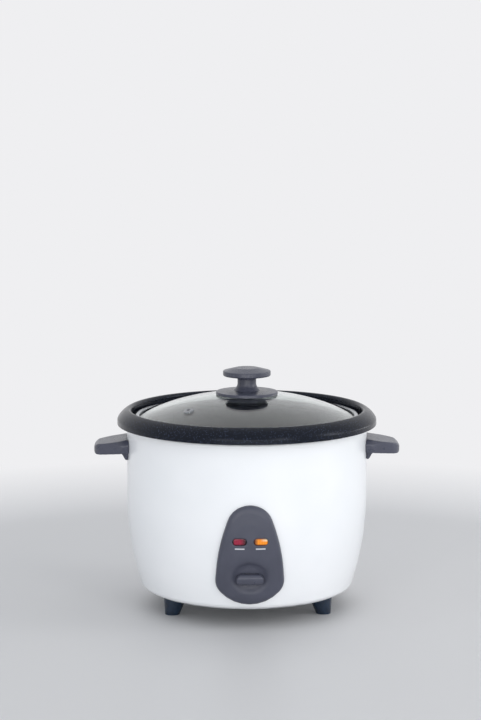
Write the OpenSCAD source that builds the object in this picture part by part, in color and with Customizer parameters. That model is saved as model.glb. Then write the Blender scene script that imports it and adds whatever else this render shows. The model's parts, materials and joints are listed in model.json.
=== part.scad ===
// Electric rice cooker: a steel drum on three feet, a lift-out pot with a wide
// rim, a domed glass lid, two side handles and one cook lever at the front.
// The floor is z = 0, the drum's axis is the z axis and the front faces -y.

/* [Pot] */
// Inner radius of the pot's straight wall
pot_r = 110.5; // [104:0.5:118]
// Height of the pot from its underside to the crest of its rim
pot_h = 136.9; // [115:0.1:160]
// Sheet thickness of the pot
pot_wall = 1.5; // [1:0.1:2.5]
// Radius of the bend between the pot's wall and its bottom
pot_bend_r = 26; // [16:1:34]
// Width of the step that the lid sits on
step_w = 8.7; // [7:0.1:12]
// Depth of that step below the crest of the rim
step_depth = 13.7; // [12:0.1:16]
// Height of the rim, from its lower lip to its crest
rim_h = 15.3; // [14:0.1:18]
// How far the rim reaches out past the body
rim_overhang = 9.8; // [7:0.1:14]

/* [Body] */
// Air gap between the pot and the liner
pot_gap = 2.5; // [1.5:0.1:5]
// Sheet thickness of the liner
liner_wall = 0.6; // [0.4:0.1:1.2]
// Radius of the bend at the bottom of the liner
liner_bend_r = 20; // [14:1:26]
// Air gap between the liner and the body shell
body_gap = 8.3; // [7.5:0.1:14]
// Sheet thickness of the body shell
body_wall = 0.8; // [0.6:0.1:1.2]
// Drop from the rim's lower lip to the top edge of the body shell
rim_gap = 1.6; // [1.2:0.1:3]
// Height of the body shell's straight upper wall
straight_h = 72.5; // [55:0.5:90]
// Radius of the long curve of the lower wall
barrel_r = 305; // [270:5:400]
// Radius of the bend where the wall meets the underside
heel_r = 7; // [5:0.5:9]
// Width of the body shell's turned-in lower flange
foot_flange_w = 7; // [6:0.5:9]

/* [Base] */
// Thickness of the base plate
base_t = 1; // [0.8:0.1:2]
// Height of the bay for the switch gear, from the base plate to the liner
bay_h = 33; // [33:0.5:38]
// Number of ventilation slots in each of the two rows
vent_count = 5; // [3:1:7]
// Length of a ventilation slot
vent_l = 26; // [14:1:30]
// Width of a ventilation slot
vent_w = 4; // [2:0.5:5]
// Distance between the middles of two slots
vent_pitch = 9; // [7:0.5:11]

/* [Feet] */
// Height of the feet
foot_h = 19.5; // [14:0.5:26]
// Radius of a foot where it stands on the floor
foot_r = 7.4; // [5:0.1:10]
// Slope of a foot's side
foot_flare = 14; // [4:1:16]
// Lean of a foot's axis, inward at the top
foot_lean = 11; // [0:1:14]
// Distance from the body's side in to the middle of a foot
foot_inset = 34.2; // [33:0.1:40]
// Radius of the circle of the posts under the heating plate
post_ring_r = 68; // [60:1:72]
// Outer radius of a post
post_r = 4; // [3.5:0.1:6]

/* [Heater] */
// Radius of the heating plate
plate_r = 86; // [78:1:90]
// Thickness of the heating plate
plate_t = 10; // [8:0.5:14]
// Height of the bosses that carry the plate
boss_h = 5.9; // [5:0.1:9]
// Radius of the ring of the cast-in heating element
element_ring_r = 50; // [42:1:54]
// Radius of the heating element's sheath
element_r = 3.5; // [2.5:0.1:4]

/* [Sensor] */
// Radius of the sensor cap
cap_r = 17; // [15:0.5:20]
// Gap round the cap in the heating plate
cap_gap = 3; // [2:0.5:4]
// Height of the cap's skirt
cap_h = 8; // [6:0.5:9]
// Sheet thickness of the cap
cap_wall = 1.2; // [0.8:0.1:1.6]
// Outer radius of the cap's stem
stem_r = 9; // [8.5:0.1:10]
// Wall thickness of the stem
stem_wall = 1; // [0.8:0.1:1.2]
// Length of the stem below the cap
stem_l = 24; // [22:0.5:24.5]
// Thickness of the ferrite disc in the cap
ferrite_t = 5; // [4:0.5:6]
// Height of the magnet
magnet_h = 8; // [6:0.5:9]
// Rise of the magnet when the lever is pressed
magnet_rise = 6.1; // [5:0.1:6.5]
// Radius of the plunger rod
rod_r = 2; // [1.5:0.1:2.5]
// Sheet thickness of the brackets
strap_t = 1.2; // [1:0.1:1.4]

/* [Lever] */
// Distance of the lever's pivot in front of the drum's axis
pivot_reach = 70; // [66:1:74]
// Height of the pivot above the base plate
pivot_rise = 21.5; // [20:0.5:22]
// Radius of the pivot pin
pin_r = 2; // [1.5:0.1:2.5]
// Thickness of the lever's steel arm
arm_t = 1.6; // [1.2:0.1:1.8]
// Width of the lever's steel arm
arm_w = 20; // [16:0.5:22]
// Width of the finger paddle
paddle_w = 27; // [22:0.5:30]
// Height of the finger paddle
paddle_h = 11; // [9:0.5:12]
// Height of the middle of the paddle above the base plate
paddle_rise = 34; // [33:0.5:37]
// Depth of the finger paddle from front to back
paddle_d = 6; // [5:0.5:8]

/* [Front panel] */
// Height of the panel's lowest point above the base plate
panel_rise = 6; // [5:0.5:9]
// Distance from the body's top edge down to the panel
panel_drop = 60.2; // [54:0.1:64]
// Width across the panel's lower corners
panel_w = 70; // [64:0.2:76]
// Width of the panel half way up
panel_waist_w = 63.4; // [58:0.2:66]
// Width across the panel's upper corners
panel_head_w = 33.8; // [30:0.2:38]
// Height of the panel's face above the body
panel_t = 6.4; // [5:0.1:8]
// Width of the finger recess
dish_w = 37; // [32:0.5:40]
// Height of the finger recess
dish_h = 32; // [28:0.5:34]
// Distance between the middles of the two lamps
lamp_pitch = 20.8; // [18:0.2:24]
// Width of a lamp window
lamp_w = 14; // [10:0.2:15]
// Height of a lamp window
lamp_h = 7; // [5:0.2:8]
// Height of the lamps above the base plate
lamp_rise = 73; // [70:0.1:78]

/* [Handles] */
// Reach of a handle out from the body
handle_reach = 33.8; // [28:0.1:40]
// Width of a handle where it meets the body
handle_w = 56; // [48:1:64]
// Thickness of a handle at the body
handle_t = 13.6; // [11:0.1:16]
// Distance from the body's top edge down to the top of a handle
handle_drop = 13; // [10:0.5:20]
// Width of a handle's mounting flange
flange_w = 42; // [38:1:46]
// Height of a handle's mounting flange
flange_h = 22; // [20:0.5:26]
// Distance between the two screws of a handle
handle_screw_pitch = 26; // [22:1:30]

/* [Lid] */
// Radius of the glass dome's outer face
dome_r = 277.5; // [250:0.5:320]
// Thickness of the glass
glass_t = 4; // [3:0.1:5]
// Gap round the lid inside the rim
lid_gap = 3.2; // [2:0.1:4]
// Width of the steel band over the glass
band_w = 4.5; // [3.5:0.1:6]
// Radius of the knob's top
knob_r = 24.7; // [20:0.1:28]
// Radius of the knob's lower flange
knob_flange_r = 32; // [26:0.5:36]
// Height of the knob above the top of the dome
knob_h = 26; // [22:0.5:32]
// Radius of the knob's neck
neck_r = 9.7; // [8:0.1:12]
// Distance of the steam vent from the lid's middle
vent_reach = 78; // [60:1:90]
// Direction of the steam vent, counted from the right
vent_turn = 219.5; // [0:0.5:360]

/* [Inlet] */
// Width of the power inlet's opening
inlet_w = 24; // [23:0.1:25]
// Height of the power inlet's opening
inlet_h = 16.5; // [16:0.1:17.5]
// Depth of the power inlet's opening
inlet_d = 16; // [15:0.5:18]
// Wall thickness of the inlet
inlet_wall = 2; // [1.5:0.1:2.4]
// Height of the middle of the inlet above the base plate
inlet_rise = 17.5; // [16:0.5:18.5]

/* [Hidden] */
$fn = 96;

// Clearances
slide_fit = 0.05;   // radial play of a pin or a rod in its bore
seat_gap = 0.2;     // play of a moulded piece in its opening
free_gap = 0.6;     // air between pieces that pass each other
past = 1;           // how far a cut runs past the face that it opens
deep = 400;         // longer than the whole cooker

// Levels above the floor
base_z = foot_h;
shell_z = base_z + base_t;
liner_z = shell_z + bay_h;
plate_z = liner_z + liner_wall + boss_h;
seat_z = plate_z + plate_t;
crest_z = seat_z + pot_h;
step_z = crest_z - step_depth;
lip_z = crest_z - rim_h;
top_z = lip_z - rim_gap;
curve_z = top_z - straight_h;

// Radii
pot_out_r = pot_r + pot_wall;
liner_in_r = pot_out_r + pot_gap;
liner_r = liner_in_r + liner_wall;
body_r = liner_r + body_gap + body_wall;
rim_in_r = pot_r + step_w;
rim_r = body_r + rim_overhang;
lid_r = rim_in_r - lid_gap;

white = "#f4f5f7";
slate = "#565662";
steel = "#c9ccd0";
zinc = "#a9adb2";
aluminium = "#d4d6d8";
coal = "#23252c";
navy = "#141c28";
copper = "#b87333";

// ---- outlines ----

// A vector turned by an angle
function turned(v, a) = [v[0] * cos(a) - v[1] * sin(a), v[0] * sin(a) + v[1] * cos(a)];

// Points of an arc about a centre, from angle a to angle b
function arc(centre, r, a, b, steps = 8) =
    [for (i = [0:steps]) centre + r * [cos(a + (b - a) * i / steps), sin(a + (b - a) * i / steps)]];

// Points that round the corner at p, between the points before and after it
function corner(before, p, after, r, steps) =
    let (
        u = (before - p) / norm(before - p),
        v = (after - p) / norm(after - p),
        half = acos(u * v) / 2,
        centre = p + (u + v) / norm(u + v) * r / sin(half),
        start = p + u * r / tan(half) - centre,
        sweep = (180 - 2 * half) * sign(cross(start, p - centre))
    )
    [for (i = [0:steps]) centre + turned(start, sweep * i / steps)];

// A path of [x, y, radius] corners with its corners rounded
function rounded(path, closed = true, steps = 6) =
    let (n = len(path))
    [for (i = [0:n - 1])
        let (
            p = [path[i][0], path[i][1]],
            b = path[(i + n - 1) % n],
            a = path[(i + 1) % n],
            plain = path[i][2] == 0 || (!closed && (i == 0 || i == n - 1))
        )
        each plain ? [p] : corner([b[0], b[1]], p, [a[0], a[1]], path[i][2], steps)];

// A path moved to its left by a distance
function beside(path, d) =
    [for (i = [0:len(path) - 1])
        let (
            step = path[min(i + 1, len(path) - 1)] - path[max(i - 1, 0)],
            left = [-step[1], step[0]] / norm(step)
        )
        path[i] + d * left];

function reversed(path) = [for (i = [len(path) - 1:-1:0]) path[i]];

// The outline of a bent sheet whose middle follows a path
module sheet(path, t) {
    polygon(concat(beside(path, t / 2), reversed(beside(path, -t / 2))));
}

// A rectangle with rounded corners, middle at the origin
module pill(w, h, r) {
    polygon(rounded([[w / 2, h / 2, r], [-w / 2, h / 2, r], [-w / 2, -h / 2, r], [w / 2, -h / 2, r]]));
}

// Extrudes an outline of [y, z] points along x, middle at x = 0
module across(w) {
    rotate([90, 0, 90]) linear_extrude(w, center = true) children();
}

// Extrudes an outline of [x, z] points along y, from y = near to y = far
module along(near, far) {
    translate([0, far, 0]) rotate([90, 0, 0]) linear_extrude(far - near) children();
}

// Copies that stand at equal steps round the drum's axis
module round_copies(count, start, reach) {
    for (i = [0:count - 1]) {
        rotate(start + i * 360 / count) translate([reach, 0, 0]) children();
    }
}

// A pan-head screw that points up, with the underside of its head at z = 0
module screw(r, l, head_r, head_h) {
    translate([0, 0, -head_h]) {
        difference() {
            cylinder(h = head_h, r = head_r);
            translate([-head_r * 0.6, -0.4, -past]) cube([head_r * 1.2, 0.8, past + head_h * 0.45]);
            translate([-0.4, -head_r * 0.6, -past]) cube([0.8, head_r * 1.2, past + head_h * 0.45]);
        }
    }
    cylinder(h = l, r = r);
}

// A countersunk screw that points up, with the face of its head at z = 0
module flush_screw(r, l, head_r, head_h) {
    difference() {
        cylinder(h = head_h, r1 = head_r, r2 = r);
        translate([-head_r * 0.6, -0.3, -past]) cube([head_r * 1.2, 0.6, past + head_h * 0.4]);
        translate([-0.3, -head_r * 0.6, -past]) cube([0.6, head_r * 1.2, past + head_h * 0.4]);
    }
    cylinder(h = l, r = r);
}

// A helical spring that stands on z = 0, wound with a mean radius r
module spring(r, wire_r, h, turns) {
    sides = 6;
    steps = ceil(turns * 16);
    rise = h - 2 * wire_r;
    rings = [for (i = [0:steps])
        let (a = 360 * turns * i / steps, z = wire_r + rise * i / steps)
        [for (k = [0:sides - 1])
            let (b = 360 * k / sides, reach = r + wire_r * cos(b))
            [reach * cos(a), reach * sin(a), z + wire_r * sin(b)]]];
    tube(rings);
}

// A solid whose skin runs through rings of points, closed at both ends
module tube(rings) {
    sides = len(rings[0]);
    last = len(rings) - 1;
    walls = [for (i = [0:last - 1]) each [for (k = [0:sides - 1])
        let (k2 = (k + 1) % sides)
        [i * sides + k, i * sides + k2, (i + 1) * sides + k2, (i + 1) * sides + k]]];
    ends = [[for (k = [sides - 1:-1:0]) k], [for (k = [0:sides - 1]) last * sides + k]];
    polyhedron([for (ring = rings) each ring], concat(walls, ends), convexity = 10);
}

// A point of the smooth curve through four points, at a share of the way from b to c
function between(a, b, c, d, t) = 0.5 * (2 * b + t * (c - a)
    + t ^ 2 * (2 * a - 5 * b + 4 * c - d) + t ^ 3 * (3 * b - a - 3 * c + d));

// A smooth curve through the points of a path
function curve(path, steps = 4) =
    let (last = len(path) - 1)
    [for (i = [0:last - 1]) for (k = [0:i == last - 1 ? steps : steps - 1])
        between(path[max(i - 1, 0)], path[i], path[i + 1], path[min(i + 2, last)], k / steps)];

// A round wire that bends smoothly through the points of a path
module wire(path, r) {
    sides = 6;
    line = curve(path);
    last = len(line) - 1;
    tube([for (i = [0:last])
        let (
            way = line[min(i + 1, last)] - line[max(i - 1, 0)],
            square_on = cross(way, [1, 0.2, 0.3]),
            side = square_on / norm(square_on),
            up = cross(side, way) / norm(way)
        )
        [for (k = [0:sides - 1]) line[i] + r * (cos(360 * k / sides) * side + sin(360 * k / sides) * up)]]);
}

// ---- body ----

// Outer radius of the body shell at a height above its heel
function body_at(z) =
    z >= curve_z ? body_r : body_r - barrel_r + sqrt(barrel_r ^ 2 - (curve_z - z) ^ 2);

heel_z = shell_z + heel_r;
heel_turn = asin((curve_z - heel_z) / (barrel_r - heel_r));
heel_in_r = body_r - barrel_r + (barrel_r - heel_r) * cos(heel_turn);
foot_flange_in_r = heel_in_r - foot_flange_w;
base_r = heel_in_r - seat_gap;

// The body's wall from its straight part down to its underside, moved in by d
function wall_path(d) = concat(
    arc([body_r - barrel_r, curve_z], barrel_r - d, 0, -heel_turn, 16),
    arc([heel_in_r, heel_z], heel_r - d, -heel_turn, -90, 8)
);

// The solid drum that the outside pieces sit against
module drum() {
    rotate_extrude() polygon(concat(
        [[0, shell_z], [0, top_z], [body_r, top_z]],
        wall_path(0)
    ));
}

top_bend_r = 2;
top_flange_w = 5;

module body_shell() color(white) difference() {
    rotate_extrude() sheet(concat(
        [[body_r - top_flange_w - body_wall, top_z - body_wall / 2]],
        arc([body_r - top_bend_r, top_z - top_bend_r], top_bend_r - body_wall / 2, 90, 0, 6),
        wall_path(body_wall / 2),
        [[foot_flange_in_r, shell_z + body_wall / 2]]
    ), body_wall);
    lever_slot();
    lamp_window();
    panel_peg_holes();
    inlet_hole();
    handle_screw_holes();
    round_copies(3, 30, base_screw_reach) cylinder(h = deep, r = base_screw_r, center = true);
}

base_screw_r = 1.5;
base_screw_head_r = 2.8;
base_screw_reach = heel_in_r - foot_flange_w / 2;

module base_plate() color(zinc) difference() {
    translate([0, 0, base_z]) cylinder(h = base_t, r = base_r);
    for (side = [-1, 1]) {
        for (i = [0:vent_count - 1]) {
            translate([side * 40, 12 + (i - (vent_count - 1) / 2) * vent_pitch, base_z - past])
                linear_extrude(base_t + 2 * past) pill(vent_l, vent_w, vent_w * 0.45);
        }
    }
    round_copies(3, 30, base_screw_reach) translate([0, 0, base_z])
        cylinder(h = base_t, r1 = base_screw_head_r, r2 = base_screw_r);
    round_copies(3, -30, post_ring_r) cylinder(h = deep, r = frame_screw_r, center = true);
    round_copies(3, -30, foot_top_reach) cylinder(h = deep, r = foot_screw_r, center = true);
}

module inner_liner() color(aluminium) difference() {
    rotate_extrude() sheet(rounded([
        [body_r - top_bend_r, top_z + liner_wall / 2, 0],
        [liner_in_r + liner_wall / 2, top_z + liner_wall / 2, 2],
        [liner_in_r + liner_wall / 2, liner_z + liner_wall / 2, liner_bend_r],
        [cap_r + cap_gap, liner_z + liner_wall / 2, 0]
    ], closed = false, steps = 8), liner_wall);
    round_copies(3, -30, post_ring_r) cylinder(h = deep, r = frame_screw_r, center = true);
    element_pins_at() cylinder(h = deep, r = element_r + 2, center = true);
    at_thermostat() cylinder(h = deep, r = thermostat_r + free_gap, center = true);
}

// ---- base, feet and fixings ----

frame_screw_r = 2;
foot_screw_r = 1.5;
foot_ring_r = body_r - foot_inset;
foot_top_reach = foot_ring_r - foot_h * tan(foot_lean);
boss_r = 7;

module support_posts() color(zinc) {
    round_copies(3, -30, post_ring_r) {
        difference() {
            translate([0, 0, shell_z]) cylinder(h = bay_h, r = post_r);
            cylinder(h = deep, r = frame_screw_r + slide_fit);
        }
    }
}

module frame_screws() color(steel) {
    round_copies(3, -30, post_ring_r) {
        translate([0, 0, base_z]) screw(frame_screw_r, seat_z - base_z - plate_t / 2, 3.8, 2.2);
    }
}

module base_screws() color(steel) {
    round_copies(3, 30, base_screw_reach) {
        translate([0, 0, base_z])
            flush_screw(base_screw_r, base_t + body_wall + 3, base_screw_head_r, base_t);
    }
}

// A tapered foot whose axis leans inward at the top; its screw goes in from below
module foot() color(navy) {
    over = 4;
    difference() {
        intersection() {
            translate([foot_ring_r, 0, 0]) rotate([0, -foot_lean, 0]) translate([0, 0, -over])
                cylinder(h = foot_h + 2 * over, r1 = foot_r - over * tan(foot_flare),
                    r2 = foot_r + (foot_h + over) * tan(foot_flare));
            cylinder(h = foot_h, r = foot_ring_r * 2);
        }
        translate([foot_top_reach, 0, -past]) cylinder(h = foot_well_h + past, r = foot_well_r);
        translate([foot_top_reach, 0, 0]) cylinder(h = deep, r = foot_screw_r);
    }
}

foot_well_h = 10;
foot_well_r = 3.4;

module foot_left() rotate(210) foot();
module foot_right() rotate(-30) foot();
module foot_rear() rotate(90) foot();

module foot_screws() color(steel) {
    round_copies(3, -30, foot_top_reach) {
        translate([0, 0, foot_well_h]) screw(foot_screw_r, base_z - foot_well_h + base_t + 4, 2.8, 1.8);
    }
}

// ---- heater and sensor ----

element_gap_turn = 30;
element_pin_h = 16;

module element_pins_at() {
    for (side = [-1, 1]) {
        rotate(90 + side * element_gap_turn) translate([element_ring_r, 0, 0]) children();
    }
}

thermostat_r = 8;
thermostat_h = 9;
thermostat_reach = element_ring_r - thermostat_r - element_r - 4;
thermostat_turn = 20;
module at_thermostat() rotate(thermostat_turn) translate([thermostat_reach, 0, 0]) children();

module heating_plate() color(aluminium) difference() {
    union() {
        rotate_extrude() polygon(rounded([
            [cap_r + cap_gap, plate_z, 0],
            [plate_r, plate_z, 2],
            [plate_r, seat_z, 3],
            [cap_r + cap_gap, seat_z, 1]
        ], steps = 4));
        round_copies(3, -30, post_ring_r) {
            translate([0, 0, liner_z + liner_wall]) cylinder(h = boss_h + 2, r = boss_r);
        }
        rotate(90 + element_gap_turn + 10) rotate_extrude(angle = 360 - 2 * element_gap_turn - 20)
            translate([element_ring_r, plate_z]) square([2 * element_r + 5, 6], center = true);
    }
    round_copies(3, -30, post_ring_r) {
        cylinder(h = seat_z - plate_t / 2, r = frame_screw_r);
    }
    element_pins_at() cylinder(h = plate_z + plate_t / 2, r = element_r);
}

// The two cold ends of the cast-in element, with their spade terminals
module heating_element() color(steel) {
    pin_low_z = plate_z + plate_t / 2 - element_pin_h;
    element_pins_at() {
        translate([0, 0, pin_low_z]) cylinder(h = element_pin_h, r = element_r);
        translate([-0.4, -3.1, pin_low_z - 8]) cube([0.8, 6.3, 8]);
    }
}

module warm_thermostat() color("#8a6f4d") at_thermostat() {
    translate([0, 0, plate_z - thermostat_h]) cylinder(h = thermostat_h, r = thermostat_r);
    for (side = [-1, 1]) {
        translate([side * 4 - 0.4, -3.1, plate_z - thermostat_h - 7]) cube([0.8, 6.3, 7]);
    }
}

cap_top_z = seat_z;
ferrite_z = cap_top_z - cap_wall - ferrite_t;
magnet_top_z = ferrite_z - magnet_rise - seat_gap;
magnet_z = magnet_top_z - magnet_h;
bridge_z = shell_z + 21.5;
collar_t = 1.5;
collar_z = shell_z + 10;
rod_low_z = collar_z - 2;
arm_top_z = rod_low_z - free_gap;

module sensor_cap() color(aluminium) {
    rotate_extrude() polygon(rounded([
        [0, cap_top_z, 0],
        [cap_r, cap_top_z, 1.5],
        [cap_r, cap_top_z - cap_h, 0],
        [cap_r - cap_wall, cap_top_z - cap_h, 0],
        [cap_r - cap_wall, cap_top_z - cap_wall, 0],
        [stem_r, cap_top_z - cap_wall, 0],
        [stem_r, cap_top_z - stem_l, 0],
        [stem_r - stem_wall, cap_top_z - stem_l, 0],
        [stem_r - stem_wall, cap_top_z - cap_wall, 0],
        [0, cap_top_z - cap_wall, 0]
    ], steps = 4));
}

module sensor_ferrite() color("#3a3a3c") {
    translate([0, 0, ferrite_z]) cylinder(h = ferrite_t, r = stem_r - stem_wall);
}

magnet_r = stem_r - stem_wall - 0.5;

module magnet() color("#6b6e73") {
    translate([0, 0, magnet_z]) cylinder(h = magnet_h, r = magnet_r);
}

module plunger() color(zinc) {
    translate([0, 0, rod_low_z]) cylinder(h = magnet_z - rod_low_z, r = rod_r);
    translate([0, 0, collar_z]) cylinder(h = collar_t, r = rod_r + 4.5);
}

magnet_spring_wire_r = 0.35;
sensor_spring_wire_r = 0.5;

module magnet_spring() color(steel) {
    translate([0, 0, collar_z + collar_t])
        spring(rod_r + 2.5, magnet_spring_wire_r, bridge_z - collar_z - collar_t, 4);
}

module sensor_spring() color(steel) {
    translate([0, 0, liner_z])
        spring((stem_r + cap_r) / 2, sensor_spring_wire_r, cap_top_z - cap_wall - liner_z, 5);
}

bracket_r = cap_r + cap_gap + 5;
guide_h = 5;
bridge_w = 8;
bridge_reach = 15;

// A drawn disc under the liner that guides the stem, and the stirrup that guides the rod
module sensor_bracket() color(zinc) difference() {
    union() {
        translate([0, 0, liner_z - strap_t]) cylinder(h = strap_t, r = bracket_r);
        translate([0, 0, liner_z - guide_h]) cylinder(h = guide_h, r = stem_r + slide_fit + strap_t);
        along(-bridge_w / 2, bridge_w / 2) sheet(rounded([
            [-bridge_reach, liner_z - strap_t / 2, 0],
            [-bridge_reach, bridge_z + strap_t / 2, 2],
            [bridge_reach, bridge_z + strap_t / 2, 2],
            [bridge_reach, liner_z - strap_t / 2, 0]
        ], closed = false), strap_t);
    }
    translate([0, 0, bridge_z + strap_t + past]) cylinder(h = deep, r = stem_r + slide_fit);
    cylinder(h = deep, r = rod_r + slide_fit);
}

// ---- lever ----

pivot_y = -pivot_reach;
pivot_z = shell_z + pivot_rise;
ear_gap = 1.4;
ear_in = arm_w / 2 + ear_gap;
lug_r = 4.5;
bracket_l = 14;

module lever_bracket() color(zinc) difference() {
    along(pivot_y - bracket_l / 2, pivot_y + bracket_l / 2) sheet(rounded([
        [-ear_in - strap_t / 2, pivot_z + lug_r, 0],
        [-ear_in - strap_t / 2, shell_z + strap_t / 2, 2],
        [ear_in + strap_t / 2, shell_z + strap_t / 2, 2],
        [ear_in + strap_t / 2, pivot_z + lug_r, 0]
    ], closed = false), strap_t);
    on_pivot() cylinder(h = deep, r = pin_r, center = true);
}

module on_pivot() translate([0, pivot_y, pivot_z]) rotate([0, 90, 0]) children();

module pivot_pin() color(steel) {
    pin_reach = ear_in + strap_t;
    on_pivot() {
        cylinder(h = 2 * pin_reach, r = pin_r, center = true);
        for (side = [-1, 1]) {
            translate([0, 0, side * (pin_reach + 0.6)]) cylinder(h = 1.2, r = pin_r + 1, center = true);
        }
    }
}

arm_low_z = arm_top_z - arm_t / 2;
arm_mid_z = pivot_z - pin_r - 2.5;

paddle_z = shell_z + paddle_rise;
wall_lean = asin((curve_z - paddle_z) / barrel_r);
paddle_back = body_at(paddle_z) + 2;
stem_w = 14;
stem_t = 3;
stem_rise = 3;       // height at which the stem meets the paddle, above its middle
arm_nose = 9;        // length of the arm's level part in front of the pivot
arm_step = 10;       // length of its level part behind the pivot
arm_drop = 24;       // distance from the pivot to where the arm is level again

// The front of the arm and the stem run along one line, from the arm's last bend to the paddle
arm_bend = [pivot_y - arm_nose, arm_mid_z];
stem_tip = [-paddle_back - 1, paddle_z + stem_rise];
function on_stem(share) = arm_bend + share * (stem_tip - arm_bend);

// Pressed steel: a cranked strip with two upturned lugs that the pin goes through
module lever_arm() color(steel) difference() {
    union() {
        across(arm_w) sheet(rounded([
            [arm_tail, arm_low_z, 0],
            [pivot_y + arm_drop, arm_low_z, 4],
            [pivot_y + arm_step, arm_mid_z, 4],
            [arm_bend[0], arm_bend[1], 4],
            [on_stem(0.52)[0], on_stem(0.52)[1], 0]
        ], closed = false), arm_t);
        for (side = [-1, 1]) {
            translate([side * (arm_w - strap_t) / 2, 0, 0]) across(strap_t) {
                translate([pivot_y, pivot_z]) circle(r = lug_r);
                translate([pivot_y - lug_r, arm_mid_z]) square([2 * lug_r, pivot_z - arm_mid_z]);
            }
        }
    }
    on_pivot() cylinder(h = deep, r = pin_r + slide_fit, center = true);
}

arm_tail = rod_r + 6;

// A plane that leans with the wall behind the paddle; its z axis points out of the body
module on_wall(reach, level) {
    translate([0, -reach, level]) rotate([90 + wall_lean, 0, 0]) children();
}

// The paddle is a bar: a pill from the front, with a rounded front edge from the side
module paddle() {
    on_wall(paddle_back, paddle_z) intersection() {
        linear_extrude(paddle_d) pill(paddle_w, paddle_h, paddle_h * 0.46);
        across(paddle_w) polygon(rounded([
            [-paddle_h / 2, 0, 1],
            [paddle_h / 2, 0, 1],
            [paddle_h / 2, paddle_d, 4],
            [-paddle_h / 2, paddle_d, 4]
        ]));
    }
}

// The moulded paddle and the stem behind it, which grips the arm
module cook_lever() color(slate) difference() {
    union() {
        paddle();
        across(stem_w) sheet([on_stem(0.24), stem_tip], stem_t);
    }
    lever_arm();
}

slot_w = stem_w + 3;
slot_h = 10.6;
slot_drop = 0.6;

// The slot that the stem passes through, long enough for the lever's swing
module lever_slot() {
    along(-deep, -foot_flange_in_r) translate([0, paddle_z - slot_drop])
        square([slot_w, slot_h], center = true);
}

switch_w = 6.4;
switch_l = 20;
switch_h = 10.5;
switch_gap = 22;     // distance from the pivot back to the switch
switch_near = pivot_y + switch_gap;
switch_z = arm_top_z + 4.6;

module micro_switch() color("#2b2f36") {
    translate([-switch_w / 2, switch_near, switch_z]) cube([switch_w, switch_l, switch_h]);
    translate([-1, switch_near + 0.6 * switch_l, switch_z - 0.9]) cube([2, 3, 1]);
}

module switch_strap() color(zinc) {
    along(switch_near + 2, switch_near + switch_l - 2) sheet(rounded([
        [switch_w / 2 + 9, liner_z - strap_t / 2, 0],
        [(switch_w + strap_t) / 2, liner_z - strap_t / 2, 2],
        [(switch_w + strap_t) / 2, switch_z + 1, 0]
    ], closed = false), strap_t);
}

// ---- front panel ----

panel_top_z = top_z - panel_drop;
panel_z = shell_z + panel_rise;
panel_h = panel_top_z - panel_z;
toe_r = 40;          // radius of the panel's lower edge
toe_drop = 18.9;     // from that edge down to where its two sides would meet
hip_rise = 18.8;     // height of the lower corners
hip_r = 18.6;
waist_rise = 0.58 * panel_h;
waist_r = 1.8 * panel_h;
head_slope = atan((panel_h - waist_rise) / ((panel_waist_w - panel_head_w) / 2));
head_bend_r = 0.49 * panel_head_w / tan(head_slope / 2);
panel_outline = rounded([
    [0, panel_z - toe_drop, toe_r],
    [panel_w / 2, panel_z + hip_rise, hip_r],
    [panel_waist_w / 2, panel_z + waist_rise, waist_r],
    [panel_head_w / 2, panel_top_z, head_bend_r],
    [-panel_head_w / 2, panel_top_z, head_bend_r],
    [-panel_waist_w / 2, panel_z + waist_rise, waist_r],
    [-panel_w / 2, panel_z + hip_rise, hip_r]
], steps = 8);
panel_middle = [0, panel_z + 0.45 * panel_h];

// Rings of the panel's pillowed face: size against the outline, height above the body
panel_rings = [[1, 0.28], [0.985, 0.62], [0.95, 0.84], [0.88, 0.95], [0.68, 0.985], [0.36, 1]];

// A point of the panel's face, e above the body
function face_point(p, e) = [p[0], -sqrt((body_at(p[1]) + e) ^ 2 - p[0] ^ 2), p[1]];

// A lofted block: flat at the back, pillowed at the front
module panel_block() {
    n = len(panel_outline);
    back_y = -body_at(panel_z) + 30;
    back = [for (p = panel_outline) [p[0], back_y, p[1]]];
    face = [for (ring = panel_rings) each [for (p = panel_outline)
        face_point(panel_middle + ring[0] * (p - panel_middle), ring[1] * panel_t)]];
    middles = [[panel_middle[0], back_y, panel_middle[1]], face_point(panel_middle, panel_t)];
    last = len(panel_rings) * n;
    walls = [for (k = [0:len(panel_rings) - 1]) each [for (i = [0:n - 1])
        let (j = (i + 1) % n)
        each [[(k + 1) * n + j, k * n + j, k * n + i], [(k + 1) * n + i, (k + 1) * n + j, k * n + i]]]];
    caps = [for (i = [0:n - 1])
        let (j = (i + 1) % n)
        each [[i, j, last + n], [last + j, last + i, last + n + 1]]];
    polyhedron(concat(back, face, middles), concat(walls, caps), convexity = 4);
}

dish_z = paddle_z + 2.4;
dish_floor = body_at(dish_z) + 1.2;
dish_share = 0.45;  // half size of the recess's floor against its size at the face
lamp_z = shell_z + lamp_rise;
peg_r = 2;
nut_r = 4.5;
peg_levels = [panel_top_z - 14, panel_z + 9];

module front_panel() color(slate) difference() {
    union() {
        difference() {
            panel_block();
            drum();
            lamp_chamber();
        }
        for (z = peg_levels) {
            along(-body_at(z) - 1.5, -body_at(z) + 5) translate([0, z]) circle(r = peg_r);
        }
    }
    finger_dish();
    lever_slot();
    for (side = [-1, 1]) {
        along(-deep, -liner_r) translate([side * lamp_pitch / 2, lamp_z])
            pill(lamp_w, lamp_h, lamp_h * 0.46);
    }
}

// The oval recess round the paddle, wider at the face than at its floor
module finger_dish() {
    dish_d = 12;
    splay = 1.25;
    on_wall(dish_floor, dish_z)
        linear_extrude(dish_d, scale = splay)
            polygon([for (a = [0:9:351]) [dish_w * cos(a), dish_h * sin(a)] * dish_share]);
}

module panel_peg_holes() {
    for (z = peg_levels) {
        along(-deep, -foot_flange_in_r) translate([0, z]) circle(r = peg_r + slide_fit);
    }
}

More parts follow.
